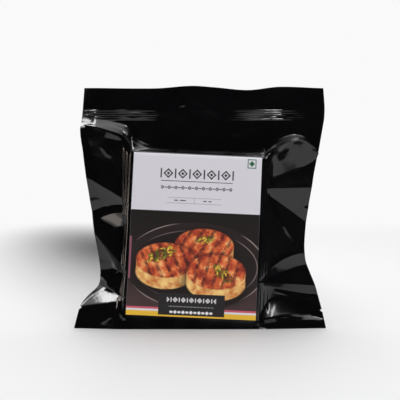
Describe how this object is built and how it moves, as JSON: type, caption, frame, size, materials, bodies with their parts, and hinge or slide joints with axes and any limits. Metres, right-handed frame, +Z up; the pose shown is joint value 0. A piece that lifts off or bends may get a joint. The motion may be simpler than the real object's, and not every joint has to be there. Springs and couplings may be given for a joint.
{
  "type": "vacuum packed cheese pouch",
  "caption": "Shut black vacuum pouch drawn tight round a rectangular cheese block, with folded side flaps, ribbed top seal, tear notches and a front paper label.",
  "frame": {"origin": "on the surface that the pouch stands on, under the middle of its box", "axes": "+X to the right across the pouch's front, +Y from the label towards the back, +Z up"},
  "size_m": [0.1484, 0.034, 0.1425],
  "materials": {
    "film": "glossy black film",
    "paper": "coated printed paper"
  },
  "bodies": {
    "root": {"pouch": "film", "label": "paper"}
  },
  "joints": []
}
